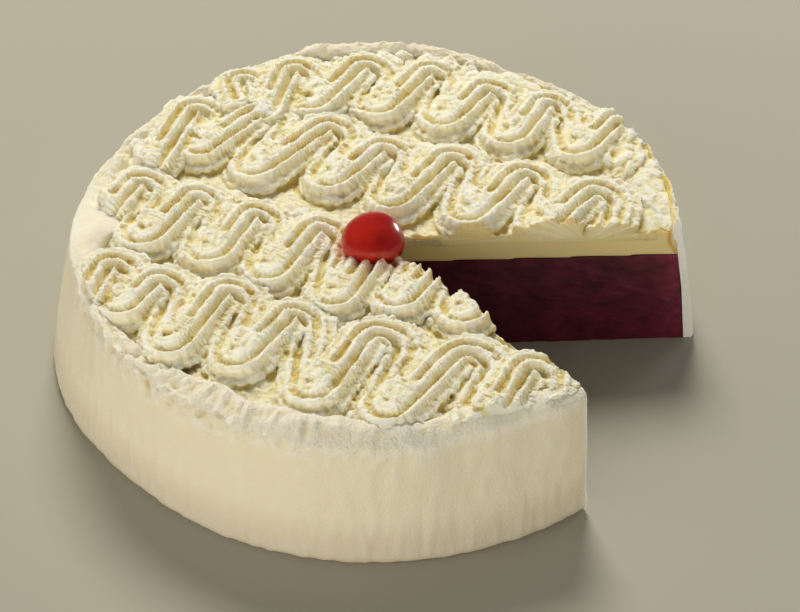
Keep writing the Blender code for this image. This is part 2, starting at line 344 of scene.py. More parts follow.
def wall_radius(direction, height):
    """The coat's outer radius in one direction at one height, without its fine relief."""
    foot = BASE_RADIUS + swelling(direction, FOOT_OUT)
    edge = rim_outer(direction) + SHOULDER_OUT * np.minimum(1.0, swelling(direction, SHOULDER))
    return foot + (edge - foot) * np.minimum(1.0, height / WALL_HEIGHT) ** WALL_CURVE


def inside_radius(direction, height):
    """The radius of the layers inside the coat."""
    straight = INSIDE_RADIUS_FOOT + (INSIDE_RADIUS_TOP - INSIDE_RADIUS_FOOT) * height / ICE_CREAM_TOP
    return np.minimum(straight, wall_radius(direction, height) - LEAST_WALL)


def steady(x, y, z):
    """Smooth noise between about -1 and 1 at one place, the same in every run."""
    return noise.noise(Vector((x, y, z)))


def soft_noise(points, size, seed=0.0):
    """Smooth noise between about -1 and 1 at each point."""
    offset = Vector((seed * 7.3, seed * 3.1, seed * 5.7))
    return np.array([noise.noise(Vector(point) / size + offset) for point in points])


def ahead_at(angle):
    return Vector((math.cos(angle), math.sin(angle)))


def aside_at(angle):
    """The plan direction to the right of a heading."""
    return Vector((math.sin(angle), -math.cos(angle)))


def new_object(name, points, edges, faces):
    mesh = bpy.data.meshes.new(name)
    mesh.from_pydata(points, edges, faces)
    obj = bpy.data.objects.new(name, mesh)
    bpy.context.scene.collection.objects.link(obj)
    make_active(obj)
    return obj


def turned_outward(obj):
    """Turns every face of a closed mesh outward."""
    bpy.ops.object.mode_set(mode="EDIT")
    bpy.ops.mesh.select_all(action="SELECT")
    bpy.ops.mesh.normals_make_consistent(inside=False)
    bpy.ops.object.mode_set(mode="OBJECT")
    return obj


def prism(name, outline, low, high):
    """An upright closed prism over a plan outline: a filled polygon, extruded upwards."""
    obj = new_object(name, [(x, y, low) for x, y in outline], [], [tuple(range(len(outline)))])
    bpy.ops.object.mode_set(mode="EDIT")
    bpy.ops.mesh.select_all(action="SELECT")
    bpy.ops.mesh.extrude_region_move(TRANSFORM_OT_translate={"value": (0.0, 0.0, high - low)})
    bpy.ops.object.mode_set(mode="OBJECT")
    return turned_outward(obj)


def wedge(low, inset=0.0, notch=0.0):
    """A wedge over the missing slice, wider by the inset on each side and notched in front if asked."""
    front = math.radians(FRONT_WALL)
    half = math.radians((REAR_WALL - FRONT_WALL) / 2)
    point = Vector(CUT_POINT) - inset / math.sin(half) * ahead_at(math.radians((FRONT_WALL + REAR_WALL) / 2))
    outline = [point + CUT_REACH * ahead_at(math.radians(REAR_WALL)), point]
    if notch:
        for i in range(1, int(NOTCHED_REACH / (NOTCH_LENGTH / 2))):
            reach = i * NOTCH_LENGTH / 2
            swing = steady(reach / NOTCH_LENGTH, 3.7, 1.9)
            outline.append(point + reach * ahead_at(front) + notch * (swing - 0.3) * aside_at(front))
    outline.append(point + CUT_REACH * ahead_at(front))
    return prism("slice", outline, low, CUT_HIGH)


def carve(obj, cutter, operation="DIFFERENCE"):
    apply_step(obj, "BOOLEAN", operation=operation, object=cutter, solver="MANIFOLD")
    if not obj.data.polygons:
        raise RuntimeError(f"{operation} left nothing of {obj.name}")
    bpy.data.objects.remove(cutter)


def hand_in(obj, node, finish):
    """The finished piece takes its material, stands for its solid and rides on the cake."""
    obj.data.materials.clear()
    obj.data.materials.append(finish)
    make_active(obj)
    bpy.ops.object.shade_smooth_by_angle(angle=math.radians(60.0))
    bpy.ops.object.transform_apply(location=True, rotation=True, scale=True)
    obj.vertex_groups.clear()
    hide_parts(node)
    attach(obj, BODY)


def new_group(name, inputs, output):
    """An empty node group with its two ends: inputs typed by their defaults, and one output."""
    group = bpy.data.node_groups.new(name, "ShaderNodeTree")
    for label, value in inputs.items():
        kind = "NodeSocketFloat" if isinstance(value, float) else "NodeSocketColor"
        socket = group.interface.new_socket(name=label, in_out="INPUT", socket_type=kind)
        socket.default_value = value
    kind = "NodeSocketColor" if output == "Colour" else "NodeSocketFloat"
    group.interface.new_socket(name=output, in_out="OUTPUT", socket_type=kind)
    return group, group.nodes.new("NodeGroupInput"), group.nodes.new("NodeGroupOutput")


def node(tree, kind, **values):
    """Adds a node. A value whose name is a socket's goes there, and others are the node's own settings."""
    made = tree.nodes.new(kind)
    for key, value in values.items():
        if hasattr(made, key):
            setattr(made, key, value)
        else:
            made.inputs[key.replace("_", " ").title()].default_value = value
    return made


def place_group(tree, build, **values):
    """Adds the shared node group that a function builds at its first use, with values for its inputs."""
    made = tree.nodes.new("ShaderNodeGroup")
    made.node_tree = bpy.data.node_groups.get(build.__name__) or build(build.__name__)
    for key, value in values.items():
        value = value if isinstance(value, float) else (*value, 1.0)
        made.inputs[key.replace("_", " ").title()].default_value = value
    return made


def wire(tree, *rows):
    """Links sockets. Each row is a node, its output, the next node and its input."""
    for first, output, second, entry in rows:
        tree.links.new(first.outputs[output], second.inputs[entry])


def mix_colour(tree, factor, first, second):
    """Mixes two colours, each a socket or a plain colour, by a socket's value."""
    mixed = tree.nodes.new("ShaderNodeMix")
    mixed.data_type = "RGBA"
    tree.links.new(factor, mixed.inputs["Factor"])
    for socket, value in ((mixed.inputs[6], first), (mixed.inputs[7], second)):
        if isinstance(value, bpy.types.NodeSocket):
            tree.links.new(value, socket)
        else:
            socket.default_value = (*value, 1.0)
    return mixed.outputs[2]


def read_mask(tree, name):
    return node(tree, "ShaderNodeAttribute", attribute_name=name).outputs["Fac"]


def masked(tree, colour, masks):
    """Lays further colours over a first one, each where its mask says."""
    for name, other in masks.items():
        colour = mix_colour(tree, read_mask(tree, name), colour, other)
    return colour


def mottle(name):
    """Large soft patches of a second colour, as in any hand-spread cream."""
    grey = (0.8, 0.8, 0.8, 1.0)
    inputs = {"Colour": grey, "Patches": grey, "Amount": 0.5, "Scale": 40.0}
    group, start, end = new_group(name, inputs, "Colour")
    place = node(group, "ShaderNodeTexCoord")
    cloud = node(group, "ShaderNodeTexNoise", detail=3.0, roughness=0.55)
    span = node(group, "ShaderNodeMapRange", from_min=0.35, from_max=0.7)
    scaled = node(group, "ShaderNodeMath", operation="MULTIPLY")
    wire(
        group,
        (place, "Object", cloud, "Vector"),
        (start, "Scale", cloud, "Scale"),
        (cloud, "Fac", span, "Value"),
        (span, "Result", scaled, 0),
        (start, "Amount", scaled, 1),
    )
    colour = mix_colour(group, scaled.outputs["Value"], start.outputs["Colour"], start.outputs["Patches"])
    group.links.new(colour, end.inputs["Colour"])
    return group


def whipped_grain(name):
    """Whipped cream's fine beads and small air holes, as a height in metres."""
    inputs = {"Bead Size": 900.0, "Bead Height": 0.0003, "Hole Size": 500.0, "Hole Depth": 0.0001}
    group, start, end = new_group(name, inputs, "Height")
    place = node(group, "ShaderNodeTexCoord")
    beads = node(group, "ShaderNodeTexVoronoi", feature="SMOOTH_F1", smoothness=0.35)
    rounded = node(group, "ShaderNodeMapRange", from_max=0.75, to_min=1.0, to_max=0.0)
    dust = node(group, "ShaderNodeTexNoise", detail=2.0, roughness=0.6, scale=2600.0)
    powder = node(group, "ShaderNodeMath", operation="MULTIPLY_ADD")
    powder.inputs[1].default_value = 0.8
    holes = node(group, "ShaderNodeTexVoronoi", feature="F1")
    pits = node(group, "ShaderNodeMapRange", from_min=0.06, from_max=0.22, to_min=-1.0, to_max=0.0)
    lifted = node(group, "ShaderNodeMath", operation="MULTIPLY")
    sunk = node(group, "ShaderNodeMath", operation="MULTIPLY_ADD")
    wire(
        group,
        (place, "Object", beads, "Vector"),
        (place, "Object", dust, "Vector"),
        (place, "Object", holes, "Vector"),
        (start, "Bead Size", beads, "Scale"),
        (start, "Hole Size", holes, "Scale"),
        (beads, "Distance", rounded, "Value"),
        (dust, "Fac", powder, 0),
        (rounded, "Result", powder, 2),
        (powder, "Value", lifted, 0),
        (start, "Bead Height", lifted, 1),
        (holes, "Distance", pits, "Value"),
        (pits, "Result", sunk, 0),
        (start, "Hole Depth", sunk, 1),
        (lifted, "Value", sunk, 2),
        (sunk, "Value", end, "Height"),
    )
    return group


def cream_depth(name):
    """Cream colour by depth: painted pale highlight on ridges, warmer flats, painted yellow shade in
    hollows.
    """
    grey = (0.8, 0.8, 0.8, 1.0)
    inputs = {"Ridge": grey, "Flat": grey, "Hollow": grey, "Depth": 0.5}
    group, start, end = new_group(name, inputs, "Colour")
    colour = start.outputs["Ridge"]
    for label, low, high in (("Flat", 0.30, 0.52), ("Hollow", 0.55, 0.95)):
        span = node(
            group, "ShaderNodeMapRange", from_min=low, from_max=high, interpolation_type="SMOOTHSTEP"
        )
        wire(group, (start, "Depth", span, "Value"))
        colour = mix_colour(group, span.outputs["Result"], colour, start.outputs[label])
    group.links.new(colour, end.inputs["Colour"])
    return group


def new_finish(name):
    """An empty material with its tree and Principled shader."""
    finish = bpy.data.materials.new(name)
    finish.use_nodes = True
    return finish, finish.node_tree, finish.node_tree.nodes["Principled BSDF"]


def set_sockets(shader, values):
    for name, value in values.items():
        shader.inputs[name].default_value = value


def cream_finish(name, settings, scatter, least_grain, masks):
    """Whipped cream: soft light inside, painted highlight on ridges and painted yellow shade in hollows,
    mottled colour and fine grain where it is rough.
    """
    finish, tree, shader = new_finish(name)
    # Painted light and shade: the hollow mask picks a paler highlight on ridges and a painted yellow shade
    # in hollows
    depth = place_group(
        tree,
        cream_depth,
        ridge=settings.cream_colour,
        flat=settings.shade_colour,
        hollow=settings.hollow_colour,
    )
    tree.links.new(read_mask(tree, "hollow"), depth.inputs["Depth"])
    tone = place_group(tree, mottle, patches=settings.shade_colour, amount=0.35, scale=70.0)
    texture = place_group(
        tree, whipped_grain, bead_size=900.0, hole_size=520.0, hole_depth=settings.hole_depth
    )
    highest = settings.grain_height
    grain = node(tree, "ShaderNodeMapRange", to_min=least_grain * highest, to_max=highest)
    tree.links.new(read_mask(tree, "rough"), grain.inputs["Value"])
    bump = node(tree, "ShaderNodeBump", distance=1.0, strength=1.0)
    wire(
        tree,
        (depth, "Colour", tone, "Colour"),
        (grain, "Result", texture, "Bead Height"),
        (texture, "Height", bump, "Height"),
        (bump, "Normal", shader, "Normal"),
    )
    tree.links.new(masked(tree, tone.outputs["Colour"], masks), shader.inputs["Base Color"])
    set_sockets(shader, {"Roughness": 0.55, "Subsurface Weight": scatter, "Specular IOR Level": 0.3})
    set_sockets(shader, CREAM_SPREAD)
    return finish


def amount(name, description, default, unit="LENGTH", subtype="NONE"):
    return FloatProperty(name=name, description=description, default=default, unit=unit, subtype=subtype)


def share(name, description, default):
    return amount(name, description, default, unit="NONE", subtype="FACTOR")


def tint(name, description, default):
    return FloatVectorProperty(name=name, description=description, default=default, subtype="COLOR")


class PipingSettings(bpy.types.PropertyGroup):
    """Sizes and colours of the piped ribbon."""

    frill_length: amount("Frill length", "Distance from one frill to the next", 0.0015)
    frill_depth: share("Frill depth", "Swing of the ribbon's width at its frills", 0.080)
    frill_height: amount("Frill height", "Height of the frills across the strokes", 0.00052)
    bead_height: amount("Bead height", "Height of the beads along the ridges", 0.0009)
    lift: amount("Lift", "Rise of forward strokes over backward ones", 0.0014)
    drag: share("Drag", "How far backward strokes lose their ridges", 0.45)
    voxel: amount("Mesh size", "Size of the mesh that joins the ribbon's turns", 0.00048)
    grain_height: amount("Grain height", "Height of the grain where it is rough", 0.00020)
    hole_depth: amount("Hole depth", "Depth of the small air holes", 0.00012)
    # Painted highlight: the ridge colour makes the crests paler than the flats
    cream_colour: tint("Ridges", "Colour of the cream on ridges", (0.93, 0.89, 0.75))
    shade_colour: tint("Flats", "Colour of the cream between", (0.91, 0.84, 0.58))
    # Painted shade: the hollow colour darkens the grooves to a deep yellow
    hollow_colour: tint("Hollows", "Colour deep in the grooves", (0.78, 0.62, 0.20))
    cut_colour: tint("Cut face", "Colour of the smooth cut face", (0.80, 0.65, 0.30))
    # Painted shade: a dark colour in the recess between the front row and the rim
    recess_colour: tint("Recess", "Colour of the dark recess", (0.13, 0.06, 0.02))
    stain_colour: tint("Reddish", "Colour of the cream round the cherry", (0.86, 0.50, 0.34))


class CoatSettings(bpy.types.PropertyGroup):
    """The smoothed cream round the side."""

    steps: IntProperty(name="Steps", description="Steps round the coat", default=900)
    wall_steps: IntProperty(name="Wall steps", description="Steps up the outer wall", default=44)
    tear_height: amount("Tear height", "Height of the torn flakes under the rim", 0.0034)
    streak_height: amount("Streak height", "Depth of the fine upright streaks", 0.00035)
    rim_roughness: amount("Rim roughness", "Height of the lumps on the rim", 0.0017)
    grain_height: amount("Grain height", "Height of the grain where it is rough", 0.00030)
    hole_depth: amount("Hole depth", "Depth of the small air holes", 0.00005)
    # Painted highlight: the ridge colour makes the rim's crests paler
    cream_colour: tint("Ridges", "Colour of the cream on ridges", (0.91, 0.85, 0.69))
    shade_colour: tint("Flats", "Colour of the smooth side", (0.87, 0.78, 0.55))
    # Painted shade: the hollow colour darkens the tears and hollows
    hollow_colour: tint("Hollows", "Colour in the tears", (0.60, 0.48, 0.20))
    seam_colour: tint("Seam", "Colour of the thin line inside the rim", (0.80, 0.60, 0.10))
    cut_colour: tint("Cut face", "Colour of the coat where it is cut", (0.93, 0.90, 0.80))
    # Painted shade: the foot colour darkens the coat towards its foot
    foot_colour: tint("Foot", "Colour of the coat at its foot", (0.66, 0.56, 0.38))


class LayerSettings(bpy.types.PropertyGroup):
    """The layers that the cut shows."""

    wall_cuts: IntProperty(name="Wall cuts", description="Subdivisions of each cut wall", default=110)
    smear_height: amount("Smear height", "Rise of the smooth face along the cut", 0.0052)
    ice_cream_colour: tint("Ice cream", "Colour of the ice cream", (0.80, 0.65, 0.30))
    # Painted shade: the cleft colour darkens the ice cream's top between the piped rows
    cleft_colour: tint("Clefts", "Colour between the piped rows", (0.50, 0.36, 0.12))
    sorbet_colour: tint("Sorbet", "Colour of the fruit sorbet", (0.050, 0.002, 0.007))
    frost_colour: tint("Frost", "Colour of the sorbet's frosted places", (0.22, 0.02, 0.05))
    seam_colour: tint("Seam", "Colour of the thin seam inside the coat", (0.62, 0.30, 0.03))


class CherrySettings(bpy.types.PropertyGroup):
    """The glazed cherry."""

    glaze_colour: tint("Cherry", "Colour of the glazed cherry", (0.33, 0.001, 0.002))
    patch_colour: tint("Lighter patches", "Where more light comes through", (0.55, 0.025, 0.006))
    dimple_depth: amount("Dimple depth", "Depth of the hollow left by the stone", 0.0016)


class StageSettings(bpy.types.PropertyGroup):
    """The camera, lights and floor."""

    elevation: amount(
        "Elevation", "Camera angle above the floor", math.radians(41.17), unit="ROTATION", subtype="ANGLE"
    )
    roll: amount("Roll", "Camera roll", math.radians(-0.42), unit="ROTATION", subtype="ANGLE")
    distance: amount("Distance", "From the camera to the point it looks at", 1.25)
    lens: amount("Lens", "Focal length in millimetres", 140.8, unit="NONE")
    key_power: amount("Key light", "Power of the key light", 21.5, unit="POWER")
    glint_power: amount("Glint", "Power of the light in the glaze", 8.0, unit="POWER")
    fill_power: amount("Fill light", "Power of the fill light", 12.0, unit="POWER")
    side_power: amount("Side light", "Power of the left light", 2.8, unit="POWER")
    floor_colour: tint("Floor", "Colour of the floor", (0.43, 0.405, 0.32))


def bend_line(bends):
    """The ribbon's middle line round alternate bends: arcs joined by the straight strokes that touch both.

    Returns plan points a short step apart, each with its heading, how far it is in an arch (1), in a bend in
    front (0) or between, and the room on the ribbon's inner side."""
    spots = [Vector(bend[:2]) * MM for bend in bends]
    gaps = [(b - a).length for a, b in zip(spots, spots[1:])]
    radii = [
        min(bend[2] * MM, RADIUS_SHARE * min(gaps[max(i - 1, 0) : i + 1])) for i, bend in enumerate(bends)
    ]
    turns = [1.0 if i % 2 == 0 else -1.0 for i in range(len(spots))]
    headings = []
    for i, gap in enumerate(gaps):
        run = spots[i + 1] - spots[i]
        lean = math.asin(min(1.0, (radii[i] + radii[i + 1]) / gap))
        headings.append(math.atan2(run.y, run.x) + turns[i] * lean)
    arrivals = [headings[0] - turns[0] * END_TURN] + headings
    leavings = headings + [headings[-1] + turns[-1] * END_TURN]
    line = []
    for i, (spot, turn, arrive, leave) in enumerate(zip(spots, turns, arrivals, leavings)):
        sweep = turn * ((turn * (leave - arrive)) % (2.0 * math.pi))
        count = max(2, int(abs(sweep) * radii[i] / LINE_STEP))
        arch = 0.0 if turn > 0 else 1.0
        for j in range(count + 1):
            heading = arrive + sweep * j / count
            line.append((spot + turn * radii[i] * aside_at(heading), heading, arch, INNER_SHARE * radii[i]))
        if i < len(headings):
            start = line[-1][0]
            finish = spots[i + 1] + turns[i + 1] * radii[i + 1] * aside_at(leave)
            count = max(1, int((finish - start).length / LINE_STEP))
            for j in range(1, count):
                part = j / count
                line.append((start.lerp(finish, part), leave, arch + (1.0 - 2.0 * arch) * part, STROKE_ROOM))
    return line


def smooth_step(value, low, high):
    part = max(0.0, min(1.0, (value - low) / (high - low)))
    return part * part * (3.0 - 2.0 * part)


def piped_ribbon(name, bends, settings):
    """The star ribbon along its line, as a closed mesh whose turns still overlap.

    Inside the bends in front it is filled to the ridges, and where it arches its inner groove is deeper."""
    foot = ICE_CREAM_TOP + 0.0003
    seed = float(len(name))
    groove_depth, groove_place, groove_width = GROOVE
    rings = []
    travelled = 0.0
    line = bend_line(bends)
    before = line[0][0]
    for i, (point, angle, arch, room) in enumerate(line):
        travelled += (point - before).length
        before = point
        slow = steady(travelled / 0.011, 2.0, seed)
        beat = math.sin(2.0 * math.pi * travelled / settings.frill_length + 5.0 * slow)
        climb = math.sin(angle)
        rise = settings.lift * climb + 0.0005 * slow + 0.0006 * arch
        flat = settings.drag * max(0.0, -climb) ** 2
        filled = 1.0 - smooth_step(arch, 0.30, 0.46)
        beaded = 0.30 + 0.70 * abs(climb)
        whole = smooth_step(min(i, len(line) - 1 - i), 0, TAPER_STEPS)
        ring = []
        for side in (-1.0, 1.0):
            half = []
            for j, (spread, pressed) in enumerate(zip(SPREAD_SECTION, PRESSED_SECTION)):
                across = pressed[0] + arch * (spread[0] - pressed[0])
                up = pressed[1] + arch * (spread[1] - pressed[1])
                bead = steady(travelled / 0.0015, side * j * 0.8, seed)
                if up > FLATTEN_FROM:
                    up += flat * (FLAT_LEVEL - up)
                if side > 0.0:
                    up -= groove_depth * arch * math.exp(-(((across - groove_place) / groove_width) ** 2))
                elif 1.0 < across and up > RELIEF_FROM:
                    up += filled * (FILLED_LEVEL + 1.0 * steady(travelled / 0.004, j * 0.4, seed) - up)
                if up > RELIEF_FROM:
                    up += settings.bead_height / MM * beaded * bead
                frill = 1.0 + settings.frill_depth * (0.5 * beat + 1.6 * bead)
                edge = max(0.0, across - 5.0) / 4.2
                across *= (1.0 + 0.05 * slow) * (1.0 + (frill - 1.0) * edge)
                across *= 0.45 + 0.55 * whole
                up = up * (0.30 + 0.70 * whole) if up > 0.0 else up
                half.append((across * MM, up * MM))
            order = half[::-1] if side < 0 else half[1:]
            inner = (side > 0.0) == (arch > 0.5)
            for across, up in order:
                place = point + side * (min(across, room) if inner else across) * aside_at(angle)
                ring.append((place.x, place.y, foot + rise + up))
        rings.append(ring)
    return skin(name, rings)


def skin(name, rings):
    """A closed mesh over rings of equal length, with a cap at each end."""
    count = len(rings[0])
    faces = []
    for i in range(len(rings) - 1):
        for j in range(count):
            k = (j + 1) % count
            faces.append((i * count + j, i * count + k, (i + 1) * count + k, (i + 1) * count + j))
    faces.append(tuple(range(count - 1, -1, -1)))
    faces.append(tuple(range((len(rings) - 1) * count, len(rings) * count)))
    return turned_outward(new_object(name, [point for ring in rings for point in ring], [], faces))


def row_at(x, y):
    """Which row a plan point in millimetres belongs to, counted from the rear."""
    for i, (point, slope) in enumerate(ROW_BORDERS):
        if y > point[1] + slope * (x - point[0]):
            return i
    return len(ROW_BORDERS)


def row_bed(row):
    """A thin spread of cream under one row, as far as its borders."""
    corners = []
    for border, over in ((row - 1, 0.0), (row, -BED_OVERLAP)):
        for x in (-0.13, 0.13):
            if 0 <= border < len(ROW_BORDERS):
                point, slope = ROW_BORDERS[border]
                corners.append((x, point[1] * MM + slope * (x - point[0] * MM) + over))
            else:
                corners.append((x, BED_REACH if border < 0 else -BED_REACH))
    outline = [corners[2], corners[3], corners[1], corners[0]]
    bed = prism("bed", outline, ICE_CREAM_TOP - BED_DEPTH, ICE_CREAM_TOP + BED_HEIGHT)
    bpy.ops.mesh.primitive_cylinder_add(
        vertices=96, radius=BED_RADIUS, depth=0.03, location=(0.0, 0.0, ICE_CREAM_TOP)
    )
    carve(bed, bpy.context.active_object, "INTERSECT")
    return bed


def lump(place, size, turn=0.0):
    """A ball of cream, stretched to a size and turned about the vertical."""
    bpy.ops.mesh.primitive_ico_sphere_add(subdivisions=3, radius=1.0)
    made = bpy.context.active_object
    made.scale = size
    made.rotation_euler = (0.0, 0.0, turn)
    made.location = place
    return made


def edge_lumps(row):
    """Rough lumps of cream along the rim, in the part of the rim that belongs to one row."""
    directions, levels = zip(*EDGE_CREAM)
    made = []
    for i in range(150):
        direction = wrapped(i * 2.4)
        if FRONT_WALL + 1.0 < direction < REAR_WALL - 1.0:
            continue
        swing = steady(i * 0.37, 1.3, 6.1)
        other = steady(i * 0.53, 7.7, 2.9)
        outward = 0.0026 if 62.0 < direction < 152.0 else 0.0
        radius = float(rim_inner(direction)) - 0.0035 + outward + 0.0035 * swing
        radius *= 1.0 if i % 2 else 0.955
        angle = math.radians(direction)
        x = radius * math.cos(angle)
        y = radius * math.sin(angle)
        if row_at(x / MM, y / MM) != row:
            continue
        top = float(np.interp(direction, directions, levels)) * MM + 0.0012 * other
        low = ICE_CREAM_TOP - 0.0010
        wide = 1.9 if 3.0 < direction < 62.0 else 1.0
        size = (wide * (0.0058 + 0.0012 * swing), wide * (0.0046 + 0.0010 * other), max(0.0015, top - low))
        made.append(lump((x, y, low), size, angle + 1.57 + other))
    return made


def knobs(bends):
    """Rough knobs where each stroke back ends, inside the bends in front."""
    made = []
    for i in range(2, len(bends), 2):
        spot = Vector(bends[i][:2]) * MM
        back = (Vector(bends[i - 1][:2]) * MM - spot).normalized()
        back = Vector((back.x * 0.75 + 0.15, back.y)).normalized()
        for j, (reach, width, top) in enumerate(KNOBS):
            swing = steady(spot.x / 0.013, spot.y / 0.013, j * 2.3)
            place = spot + (reach + 0.002 * swing) * back
            size = (width * (0.8 + 0.3 * swing), width * 1.35, top + 0.0010 * swing - ICE_CREAM_TOP)
            turn = math.atan2(back.y, back.x) - math.pi / 2 + 0.5 * swing
            made.append(lump((place.x, place.y, ICE_CREAM_TOP), size, turn))
    return made


def border_lumps(row):
    """Low lumps of cream along the line where a row meets the one behind it."""
    if row == 0:
        return []
    point, slope = ROW_BORDERS[row - 1]
    made = []
    for i in range(-17, 24):
        swing = steady(i * 0.71, row * 3.3, 0.7)
        other = steady(i * 0.57, row * 5.1, 4.7)
        x = (point[0] + 6.0 * i + 2.0 * swing) * MM
        y = point[1] * MM + slope * (x - point[0] * MM) - 0.001 + 0.003 * other
        if math.hypot(x, y) > 0.106:
            continue
        size = (0.0062 + 0.002 * swing, 0.0064 + 0.002 * other, 0.0064 + 0.0024 * swing)
        made.append(lump((x, y, ICE_CREAM_TOP), size))
    return made


def joined(first, others):
    make_active(first)
    for other in others:
        other.select_set(True)
    bpy.ops.object.join()


def inside_of_rim():
    """A prism over what lies inside the rim, where the rows' cream may be."""
    outline = []
    for direction in range(0, 360, 3):
        radius = float(rim_outer(float(direction)) - swelling(float(direction), FLAP)) - ROWS_INSET
        angle = math.radians(direction)
        outline.append((radius * math.cos(angle), radius * math.sin(angle)))
    return prism("inside_of_rim", outline, ICE_CREAM_TOP - ROWS_DEPTH, CUT_HIGH)


def search_tree(places):
    tree = KDTree(len(places))
    for i, place in enumerate(places):
        tree.insert(place, i)
    tree.balance()
    return tree


def rough_places(points, bends):
    """How rough each point is, from 0 on forward strokes, arches and bends' fronts to 1 on strokes back.

    It is worked out on a plan grid of 1 mm squares and read between them."""
    line = bend_line(bends)
    tree = search_tree([(point.x, point.y, -0.0022 * math.sin(angle)) for point, angle, arch, room in line])
    spots = np.array([bend[:2] for bend in bends[0::2]]) * MM
    low = np.floor(points[:, :2].min(axis=0) / MM).astype(int) - 1
    high = np.ceil(points[:, :2].max(axis=0) / MM).astype(int) + 2
    table = np.zeros(high - low)
    for i, j in np.ndindex(table.shape):
        place = (low + (i, j)) * MM
        index, far = tree.find((place[0], place[1], -0.0022))[1:]
        back = 0.25 - 1.3 * math.sin(line[index][1])
        inside = 1.15 - np.linalg.norm(spots - place, axis=1).min() / 0.0058
        table[i, j] = min(1.0, max(0.0, back, inside, (far / MM - 6.5) / 3.0))
    where = points[:, :2] / MM - low
    cell = np.floor(where).astype(int)
    right, up = (where - cell).T
    i, j = cell.T
    lower = table[i, j] * (1.0 - right) + table[i + 1, j] * right
    upper = table[i, j + 1] * (1.0 - right) + table[i + 1, j + 1] * right
    return lower * (1.0 - up) + upper * up


def stroke_places(points, bends):
    """How far along the ribbon's line each point lies, and how strongly frills show there, from 0 to 1.

    They show most where the line runs across the rows, and not beyond the ribbon's edge."""
    line = bend_line(bends)
    spots = np.array([(point.x, point.y) for point, angle, arch, room in line])
    headings = np.array([angle for point, angle, arch, room in line])
    travelled = np.concatenate(([0.0], np.cumsum(np.hypot(*np.diff(spots, axis=0).T))))
    tree = search_tree([(x, y, 0.0) for x, y in spots])
    nearest = np.array([tree.find((x, y, 0.0))[1] for x, y, z in points.tolist()])
    ahead = np.stack((np.cos(headings), np.sin(headings)), axis=1)[nearest]
    beyond = np.einsum("ij,ij->i", points[:, :2] - spots[nearest], ahead)
    away = np.hypot(*(points[:, :2] - spots[nearest]).T)
    steep = 0.25 + 0.75 * np.abs(np.sin(headings))[nearest]
    return travelled[nearest] + beyond, steep * np.clip((0.0105 - away) / 0.0015, 0.0, 1.0)


def add_frills(obj, bends, settings, strength):
    """Fine frills across the ribbon, as the star nozzle leaves them, highest on the strokes."""
    points = points_of(obj)
    along, frilled = stroke_places(points, bends)
    marks = np.arange(0.0, 1.2, 0.0008)
    spots = np.stack((marks, 0.0 * marks, 0.0 * marks), axis=1)
    wander = np.interp(along, marks, soft_noise(spots, 0.006, 3.0))
    height = np.interp(along, marks, soft_noise(spots, 0.003, 8.0))
    phase = 2.0 * math.pi * along / settings.frill_length + 4.0 * wander
    wave = np.sin(phase) * (0.7 + 0.6 * height) * frilled
    moved = settings.frill_height * strength * wave
    set_points(obj, points + moved[:, None] * normals_of(obj))


def hollow_places(obj, rounds):
    """How far each point lies below its surroundings, in metres: above 0 in hollows, below 0 on ridges."""
    points = points_of(obj)
    count = len(points)
    edges = np.empty(len(obj.data.edges) * 2, dtype=np.int32)
    obj.data.edges.foreach_get("vertices", edges)
    start = np.concatenate((edges[0::2], edges[1::2]))
    finish = np.concatenate((edges[1::2], edges[0::2]))
    weight = np.maximum(np.bincount(start, minlength=count), 1)

    def evened(values):
        return np.bincount(start, weights=values[finish], minlength=count) / weight

    soft = points.copy()
    for _ in range(rounds):
        for axis in range(3):
            soft[:, axis] = evened(soft[:, axis])
    depth = np.einsum("ij,ij->i", soft - points, normals_of(obj))
    for _ in range(4):
        depth = evened(depth)
    return depth


